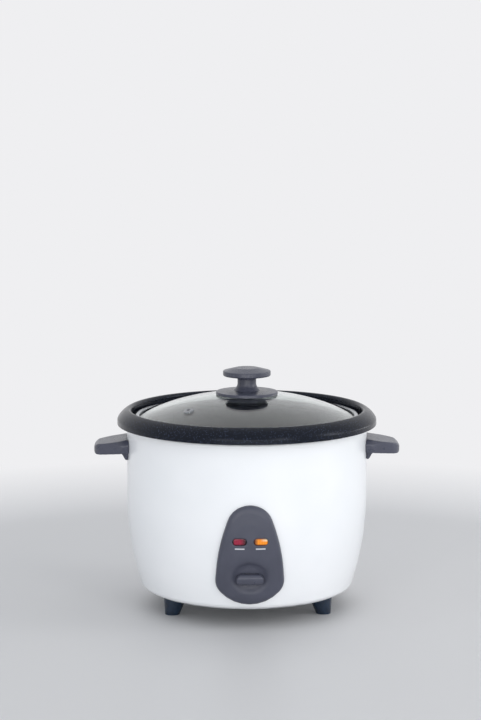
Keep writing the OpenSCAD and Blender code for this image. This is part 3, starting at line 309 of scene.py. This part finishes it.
def galvanised():
    """Zinc-coated sheet: pale spangles 6 mm across that each shine a little differently."""
    made, tree, shader = new_material("galvanised_sheet", **{"Metallic": 1.0})
    spangle = add(tree, "TexVoronoi", links={"Vector": place(tree)}, inputs={"Scale": per(6)})
    share = add(tree, "SeparateXYZ", links={"Vector": spangle.outputs["Color"]}).outputs["X"]
    feed(tree, shader, Base_Color=ramp(tree, share, [(0.0, "#9DA1A5"), (1.0, "#B9BDC1")]),
         Roughness=span(tree, share, 0.32, 0.5, 0, 1))
    relief(tree, shader, spangle.outputs["Distance"], 0.01)
    return made


def lens_with_painted_glow(name, node, dull, painted_lit, painted_glow, painted_highlight, strength, share):
    """Tinted polycarbonate, moulded with fine upright ribs; over a share of its width the lens carries a
    painted glow, an emission and a lit base colour that stand in for the neon tube's light.

    A painted highlight, in the hot colour, lies above its middle, at the right. The painted glow rises and
    falls at four shares of the width, from 0 at the left end to 1 at the right end.
    """
    highlight_rise = 1.4 * MM                       # height over the middle from which the painted highlight comes in
    fade_from, fade_to = 1.8 * MM, 3.6 * MM   # heights over and under the middle where the painted glow fades
    highlight_from, highlight_to = 0.5, 0.78              # shares of the width between which the painted highlight comes in
    made, tree, shader = new_material(name, **{
        "IOR": 1.5, "Roughness": 0.2, "Emission Strength": strength})
    low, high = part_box(node)
    spot = add(tree, "SeparateXYZ", links={"Vector": place(tree)})
    # drawn 1.6 mm apart, coarser than usual ribs, so that they show
    rib = add(tree, "Math", links={0: spot.outputs["X"]}, inputs={1: 2 * math.pi * per(1.6)},
              operation="MULTIPLY")
    wave = add(tree, "Math", links={0: rib.outputs[0]}, operation="SINE").outputs[0]
    across = span(tree, spot.outputs["X"], 0, 1, low.x, high.x)
    up = add(tree, "Math", links={0: spot.outputs["Z"]}, inputs={1: middle(node).z}, operation="SUBTRACT")
    upper = span(tree, up.outputs[0], 0, 1, 0, highlight_rise)
    up = add(tree, "Math", links={0: up.outputs[0]}, operation="ABSOLUTE").outputs[0]
    height = span(tree, up, 1, 0, fade_from, fade_to)
    right = span(tree, across, 0, 1, highlight_from, highlight_to)
    painted_highlight_mask = add(tree, "Math", links={0: upper, 1: right}, operation="MULTIPLY").outputs[0]
    # the painted glow's colour, turning to the painted highlight's colour inside its mask
    light = add(tree, "Mix", links={"Factor": painted_highlight_mask}, data_type="RGBA",
                inputs={"A": linear(painted_glow), "B": linear(painted_highlight)}).outputs["Result"]
    ribs = span(tree, wave, 0.75, 1.0, -1, 1)
    # where the painted glow lies along the width; it mixes the emission in, and the base colour from dull to
    # painted lit
    along = ramp(tree, across, [(share[0], "#000000"), (share[1], "#FFFFFF"), (share[2], "#FFFFFF"),
                                (share[3], "#000000")])
    for part in (height, ribs):
        along = add(tree, "Mix", links={"A": along, "B": part}, inputs={"Factor": 1.0}, data_type="RGBA",
                    blend_type="MULTIPLY").outputs["Result"]
    feed(tree, shader,
         Base_Color=add(tree, "Mix", links={"Factor": along}, data_type="RGBA",
                        inputs={"A": linear(dull), "B": linear(painted_lit)}).outputs["Result"],
         Emission_Color=add(tree, "Mix", links={"Factor": along, "B": light}, data_type="RGBA",
                            inputs={"A": linear("#000000")}).outputs["Result"])
    relief(tree, shader, wave, 0.03)
    return made


FINISHES = {
    "body_shell": baked_enamel(),
    "inner_pot": nonstick_pot(),
    "lid_glass": toughened_glass(),
}
printed = [(middle(node).x, middle("cook_lens").z - MARK_DROP, MARK_W, MARK_H)
           for node in ("cook_lens", "warm_lens")]
abs_plastic = moulded_abs("polished_slate_abs", 0.26, 0.33)
panel_plastic = moulded_abs("satin_slate_abs_with_printed_marks", 0.38, 0.46, printed)
stainless = spun("bright_stainless_steel", "#B9BCC0", "#D5D8DB", 0.14, 0.24, 0.5, 0.004)
zinc_sheet = galvanised()
plated = grained("zinc_plated_steel", "#A6A9AD", "#C3C6CA", 0.25, 0.38, 0.8, 0.006)
# Grains and rings are drawn coarser than the real ones, which are too fine to show.
for_nodes = [
    # from an etched mould: an even satin
    (panel_plastic, "front_panel"),
    # from a polished mould: a low sheen
    (abs_plastic, "handle_left handle_right lid_knob cook_lever"),
    # polished as it turns: fine bright rings
    (stainless, "lid_band knob_screw"),
    # drawn and tumbled: a darker, softer shine
    (spun("drawn_steel_grommet", "#84878B", "#A0A3A7", 0.2, 0.3, 0.5, 0.004), "steam_vent"),
    # hot-dipped sheet: pale spangles
    (zinc_sheet, "base_plate lever_bracket switch_strap sensor_bracket"),
    # barrel-plated: a clean grey shine with a fine grain
    (plated, "support_posts frame_screws base_screws foot_screws handle_screws panel_nuts pivot_pin "
             "lever_arm plunger"),
    # brushed as it turns: soft rings
    (spun("spun_aluminium", "#AEB1B4", "#CBCED1", 0.3, 0.42, 1.2, 0.02), "inner_liner sensor_cap"),
    # die-cast, with its face turned flat: dull rings
    (spun("cast_aluminium_turned_face", "#9FA2A5", "#BEC1C4", 0.38, 0.52, 0.9, 0.05), "heating_plate"),
    # tube that has been hot: straw and brown tints
    (grained("heat_tinted_sheath_steel", "#6F6458", "#9A9286", 0.3, 0.45, 1.0, 0.01), "heating_element"),
    # from a polished mould: very dark blue, with a tight highlight
    (grained("hard_navy_rubber", "#142233", "#1D2E42", 0.14, 0.2, 0.9, 0.006, metallic=0.0),
     "foot_left foot_right foot_rear"),
    # soft and matt
    (grained("soft_grey_silicone", "#34343B", "#3F3F47", 0.55, 0.65, 0.8, 0.02, metallic=0.0),
     "knob_gasket"),
    # injection-moulded with glass fibre: black, a little mottled
    (grained("black_pbt", "#17181B", "#202226", 0.35, 0.45, 0.8, 0.02, metallic=0.0),
     "power_inlet micro_switch"),
    # plated over brass: a warm shine
    (grained("nickel_plated_brass", "#B59D5F", "#D3BC80", 0.2, 0.3, 0.7, 0.004), "inlet_pins"),
    # pressed resin with filler: brown clouds
    (grained("brown_phenolic", "#5A4028", "#7A5A3C", 0.4, 0.5, 1.0, 0.02, metallic=0.0),
     "warm_thermostat"),
    # moulded, slightly waxy
    (grained("ivory_nylon", "#DDD8C8", "#EBE7DA", 0.4, 0.5, 1.2, 0.02, metallic=0.0), "lamp_holder"),
    # drawn tube: smooth and half clear, tinted by the glow inside
    (grained("neon_lamp_glass", "#E0B79A", "#F2D8C2", 0.03, 0.08, 1.2, 0.0, metallic=0.0,
             **{"Transmission Weight": 0.6, "IOR": 1.5}), "lamp_tubes"),
    # pressed and sintered powder: matt charcoal
    (grained("sintered_ferrite", "#2E2E31", "#3D3D41", 0.55, 0.7, 0.6, 0.03, metallic=0.0),
     "sensor_ferrite"),
    # plated over a ground disc: bright
    (grained("nickel_plated_magnet", "#8F9296", "#B4B7BB", 0.18, 0.28, 0.7, 0.004), "magnet"),
    # cold-drawn: bright, with a fine grain
    (grained("drawn_spring_wire", "#8E9196", "#B9BCC1", 0.22, 0.34, 0.5, 0.006),
     "magnet_spring sensor_spring"),
    # moulded with ribs, each lens painted with a glow that stands in for its neon tube: the first a dim
    # painted glow, the second a bright one with a painted highlight
    (lens_with_painted_glow("red_polycarbonate_painted_glow", "cook_lens", "#220A14", "#4E061E", "#D00A48", "#D00A48", 0.42,
                (0.1, 0.2, 0.55, 0.88)), "cook_lens"),
    (lens_with_painted_glow("amber_polycarbonate_painted_glow", "warm_lens", "#4C1E16", "#9C5204", "#FF9A14", "#FFF0C8", 0.75,
                (0.14, 0.36, 0.88, 1.0)), "warm_lens"),
    # braided and varnished: pale, rough
    (grained("glass_fibre_sleeving", "#BDB6A2", "#D6D0BF", 0.6, 0.75, 0.9, 0.06, metallic=0.0),
     "supply_leads"),
    # extruded: smooth, half matt
    (grained("red_silicone_insulation", "#96271A", "#AD3324", 0.4, 0.5, 1.5, 0.01, metallic=0.0),
     "lamp_leads"),
    (grained("green_silicone_insulation", "#4C7A28", "#5F9136", 0.4, 0.5, 1.5, 0.01, metallic=0.0),
     "earth_lead"),
]
for material, nodes in for_nodes:
    for node in nodes.split():
        FINISHES[node] = material


def finish(obj, material):
    """Gives a piece or a CAD node one material."""
    obj.data.materials.clear()
    obj.data.materials.append(material)


for node, material in FINISHES.items():
    finish(frame["nodes"][node], material)


# ---- moulded pieces: the plain solids with the soft edges that a mould gives ----

def body_of(node):
    """The name of the body that a CAD node rides on."""
    bodies = frame["record"]["behaviour"]["bodies"]
    return next(name for name, nodes in bodies.items() if node in nodes)


def copy_of(node, name):
    """A new piece with the shape of a CAD node, whose loose faces are joined; it replaces the node."""
    bm = bmesh.new()
    bm.from_mesh(frame["nodes"][node].data)
    bmesh.ops.remove_doubles(bm, verts=bm.verts[:], dist=0.001 * MM)
    copied = piece_from(bm, name)
    finish(copied, FINISHES[node])
    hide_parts(node)
    return copied


def magnet_return_coil():
    """The magnet's spring: in the cooker its foot rises with the rod's collar while its head stays under the
    stirrup; here it is one piece, copied from its CAD node, that rides on that node's body and does not
    stretch.
    """
    coil = copy_of("magnet_spring", "magnet_return_coil")
    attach(coil, body_of("magnet_spring"))
    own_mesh(coil)


def sensor_push_coil():
    """The sensor's spring: in the cooker its foot stays on the liner while its head follows the cap; here it
    is one piece, copied from its CAD node, that stands still and does not squeeze.
    """
    coil = copy_of("sensor_spring", "sensor_push_coil")
    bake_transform(coil)


def melt(bm, verts, rounds):
    """Rounds off what is sharp, a little more with each round."""
    for _ in range(rounds):
        bmesh.ops.smooth_vert(bm, verts=verts, factor=0.5, use_axis_x=True, use_axis_y=True,
                              use_axis_z=True)


def soft_moulding(node, voxel_mm, rounds, lip=None, lip_rounds=0):
    """A copy of a CAD node whose sharp edges are melted round, as a moulding's are; it replaces the node.

    A lip, (x, z, half width, half height), is the oval edge of a recess, which is melted further. The
    floor inside it, with its slot, stays.
    """
    melted = copy_of(node, node + "_moulding")
    remesh = melted.modifiers.new("even_skin", "REMESH")
    remesh.mode = "VOXEL"
    remesh.voxel_size = voxel_mm * MM
    even = melted.evaluated_get(bpy.context.evaluated_depsgraph_get())
    bm = bmesh.new()
    bm.from_mesh(even.data)
    melted.modifiers.clear()
    melt(bm, bm.verts[:], rounds)
    if lip:
        x, z, half_w, half_h = lip
        inner, outer = 0.61, 1.4              # shares of the oval between which the melting reaches
        melt(bm, [v for v in bm.verts
                  if inner < math.hypot((v.co.x - x) / half_w, (v.co.z - z) / half_h) < outer], lip_rounds)
    bm.normal_update()
    bm.to_mesh(melted.data)
    bm.free()
    for face in melted.data.polygons:
        face.use_smooth = True
    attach(melted, body_of(node))


# ---- stage, light and camera ----

ROOM_WHITE = "#EFEFF1"


def seen_rays(tree):
    """1 for rays that show a thing to the eye, straight or by a reflection, and 0 for those that light."""
    path = add(tree, "LightPath")
    seen = add(tree, "Math", links={0: path.outputs["Is Camera Ray"], 1: path.outputs["Is Glossy Ray"]},
               operation="MAXIMUM")
    return add(tree, "Math", links={0: seen.outputs[0], 1: path.outputs["Is Transmission Ray"]},
               operation="MAXIMUM").outputs[0]


def build_stage():
    """A pale floor that rises in a wide bend to a pale wall behind."""
    extent = 4                                # of the floor to the front and each side, and of the wall up
    back, bend_r = 1.6, 0.8
    paler_from, paler_to = 0.45, 1.0          # distances between which the floor's own colour turns paler
    room_from, room_to = 0.48, 0.82           # and between which it turns into the room
    bm = bmesh.new()
    start = bm.verts.new((0, -extent, 0))
    foot = bmesh.ops.extrude_vert_indiv(bm, verts=[start])["verts"][0]
    foot.co = (0, back, 0)
    bend = bmesh.ops.spin(bm, geom=[foot], cent=(0, back, bend_r), axis=(1, 0, 0),
                          angle=math.pi / 2, steps=24)
    last = [g for g in bend["geom_last"] if isinstance(g, bmesh.types.BMVert)][0]
    top = bmesh.ops.extrude_vert_indiv(bm, verts=[last])["verts"][0]
    top.co = (0, back + bend_r, extent)
    side = bmesh.ops.extrude_edge_only(bm, edges=bm.edges[:])["geom"]
    moved = [g for g in side if isinstance(g, bmesh.types.BMVert)]
    bmesh.ops.translate(bm, verts=moved, vec=(2 * extent, 0, 0))
    bmesh.ops.translate(bm, verts=bm.verts[:], vec=(-extent, 0, 0))
    floor = piece_from(bm, "floor")
    made, tree, shader = new_material("pale_floor", **{"Roughness": 0.5})
    reach = add(tree, "VectorMath", links={0: place(tree)}, operation="LENGTH").outputs["Value"]
    feed(tree, shader, Base_Color=ramp(tree, span(tree, reach, 0, 1, paler_from, paler_to),
                                       [(0.0, "#D3D2D2"), (1.0, "#E8E8E9")]))
    # away from the object the floor turns into the white room that the eye and every gloss sees
    wall = add(tree, "Emission", inputs={"Color": linear(ROOM_WHITE), "Strength": 1.0})
    far = add(tree, "Math", links={0: seen_rays(tree), 1: span(tree, reach, 0, 1, room_from, room_to)},
              operation="MULTIPLY").outputs[0]
    both = add(tree, "MixShader", links={"Fac": far, 1: shader.outputs["BSDF"], 2: wall.outputs[0]})
    output = next(node for node in tree.nodes if node.type == "OUTPUT_MATERIAL")
    tree.links.new(both.outputs[0], output.inputs["Surface"])
    finish(floor, made)


def softbox(name, at, aim, width, height, power, mirrored=True):
    """A rectangular studio light that faces a point; a gloss mirrors it or not."""
    data = bpy.data.lights.new(name, "AREA")
    data.shape = "RECTANGLE"
    data.size = width
    data.size_y = height
    data.energy = power
    light = bpy.data.objects.new(name, data)
    light.location = at
    light.visible_glossy = mirrored
    light.rotation_euler = (Vector(aim) - Vector(at)).to_track_quat("-Z", "Y").to_euler()
    bpy.context.scene.collection.objects.link(light)


def build_light():
    """A pale room with a tall key light from the front right, and weaker ones round the object."""
    world = bpy.data.worlds.new("studio")
    bpy.context.scene.world = world
    world.use_nodes = True
    tree = world.node_tree
    tree.nodes.clear()
    room = add(tree, "Background", inputs={"Color": linear("#F0F5FB"), "Strength": 0.76})
    white = add(tree, "Background", inputs={"Color": linear(ROOM_WHITE), "Strength": 1.0})
    both = add(tree, "MixShader", links={"Fac": seen_rays(tree), 1: room.outputs[0], 2: white.outputs[0]})
    add(tree, "OutputWorld", links={"Surface": both.outputs[0]})
    # place, the point it faces, width, height and watts
    softbox("key", (1.07, -1.92, 0.95), (0, 0, 0.1), 0.4, 1.7, 6)
    softbox("right", (1.9, -0.35, 0.75), (0, 0, 0.1), 0.6, 1.4, 7)
    softbox("left", (-0.85, -2.0, 0.8), (0, 0, 0.1), 0.16, 1.5, 3.4)
    softbox("front", (-0.6, -3.0, 0.4), (0, 0, 0.08), 2.4, 0.7, 8.5)
    softbox("under", (0.2, -1.6, 0.09), (0, 0, 0.02), 1.8, 0.12, 3.2)
    softbox("low", (1.5, 0.5, 0.2), (0, 0, 0.15), 1.2, 0.12, 1.5)
    softbox("top", (0.2, 0.6, 2.2), (0, 0, 0.15), 1.6, 1.0, 4, mirrored=False)


def build_camera():
    """A long lens from the front, a little above the lid."""
    reach, height = 2.2495, 0.5733            # from the drum's axis and above the floor
    turn = math.radians(-1.5)                 # round the axis, from straight in front
    down, aside = 8.01, 0.167                 # degrees by which it looks down and past the axis
    data = bpy.data.cameras.new("camera")
    data.lens = 110
    camera = bpy.data.objects.new("camera", data)
    camera.location = (reach * math.sin(turn), -reach * math.cos(turn), height)
    camera.rotation_euler = (math.radians(90 - down), 0, turn + math.radians(aside))
    bpy.context.scene.collection.objects.link(camera)
    bpy.context.scene.camera = camera


soft_moulding("front_panel", voxel_mm=0.62, rounds=6,
              lip=(0, RECESS_Z, RECESS_HALF_W, RECESS_HALF_H), lip_rounds=140)
soft_moulding("cook_lever", voxel_mm=0.5, rounds=6)
for lens in ("cook_lens", "warm_lens"):
    soft_moulding(lens, voxel_mm=0.4, rounds=4)
for handle in ("handle_left", "handle_right"):
    soft_moulding(handle, voxel_mm=0.6, rounds=6)
magnet_return_coil()
sensor_push_coil()
build_stage()
build_light()
build_camera()
bpy.context.scene.view_settings.view_transform = "Standard"
